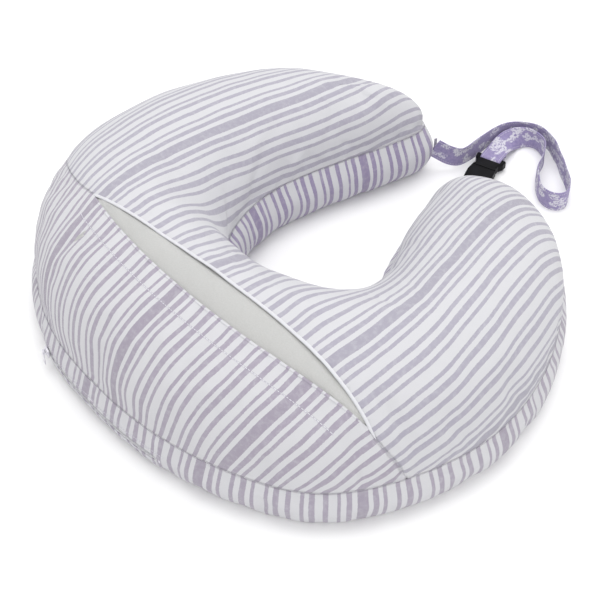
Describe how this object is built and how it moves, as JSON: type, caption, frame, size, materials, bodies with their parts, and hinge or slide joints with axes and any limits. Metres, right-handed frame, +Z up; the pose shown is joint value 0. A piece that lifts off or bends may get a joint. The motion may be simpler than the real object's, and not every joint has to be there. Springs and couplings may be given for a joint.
{
  "type": "nursing pillow",
  "caption": "U-shaped fibre-filled nursing pillow in a striped cotton cover, with a slit along the crown, a zip at the back and a buckled strap between the arm tips.",
  "frame": {"origin": "centre of the pillow's plan box on the surface it lies on, straps left out", "axes": "+X along the pillow's width towards the arm with the short strap, +Y from the back towards the open side, +Z up"},
  "size_m": [0.5716, 0.6366, 0.1563],
  "materials": {
    "cotton_print": "woven cotton, pale lilac with faded white stripes",
    "white_cotton": "plain white woven lining",
    "white_binding": "narrow woven tape",
    "fibre_fill": "loose polyester fibre",
    "lilac_strap": "printed cotton over webbing",
    "thread": "bar tack stitching",
    "black_acetal": "moulded, lightly grained",
    "zip_tape": "woven zip tape",
    "zip_coil": "nylon coil",
    "zip_metal": "enamelled die casting"
  },
  "bodies": {
    "pillow": {"cover_top_front": "cotton_print", "cover_top_back": "cotton_print", "cover_side_band": "cotton_print", "cover_inner_wall": "cotton_print", "cover_bottom_panel": "cotton_print", "slit_hem": "cotton_print", "slit_binding": "white_binding", "insert_casing_top": "white_cotton", "insert_casing_base": "white_cotton", "fibre_filling": "fibre_fill", "strap_root": "lilac_strap", "strap_tab": "lilac_strap", "strap_fold_socket": "lilac_strap", "bartack_root": "thread", "bartack_tab": "thread", "buckle_socket": "black_acetal", "zip_tape_lower": "zip_tape", "zip_tape_upper": "zip_tape", "zip_coil_lower": "zip_coil", "zip_coil_upper": "zip_coil", "zip_stop_left": "zip_metal", "zip_stop_right": "zip_metal"},
    "plug": {"buckle_plug": "black_acetal", "strap_fold_plug": "lilac_strap", "strap_loop": "lilac_strap"},
    "prong_left": {"plug_prong_left": "black_acetal"},
    "prong_right": {"plug_prong_right": "black_acetal"},
    "slider": {"zip_slider": "zip_metal"},
    "pull": {"zip_pull": "zip_metal"}
  },
  "joints": [
    {"name": "plug_slide", "type": "slide", "parent": "pillow", "child": "plug", "axis": [-0.3007, 0.9537, 0], "range_m": [0, 0.025], "deforming": ["plug_prong_left", "plug_prong_right"]},
    {"name": "prong_left_flex", "type": "hinge", "parent": "plug", "child": "prong_left", "pos_m": [-0.02054, 0.28839, 0.0072], "axis": [0, 0, 1], "range_deg": [0, 9.5], "stiffness_Nm_per_rad": 0.3},
    {"name": "prong_right_flex", "type": "hinge", "parent": "plug", "child": "prong_right", "pos_m": [-0.00528, 0.2932, 0.0072], "axis": [0, 0, -1], "range_deg": [0, 9.5], "stiffness_Nm_per_rad": 0.3},
    {"name": "zip_slide", "type": "hinge", "parent": "pillow", "child": "slider", "pos_m": [0.00439, 0.20844, 0.022], "axis": [0, 0, 1], "range_deg": [0, 21.4]},
    {"name": "zip_pull_swing", "type": "hinge", "parent": "slider", "child": "pull", "pos_m": [-0.09902, -0.25444, 0.023], "axis": [-0.9676, 0.2526, 0], "range_deg": [0, 150]}
  ]
}
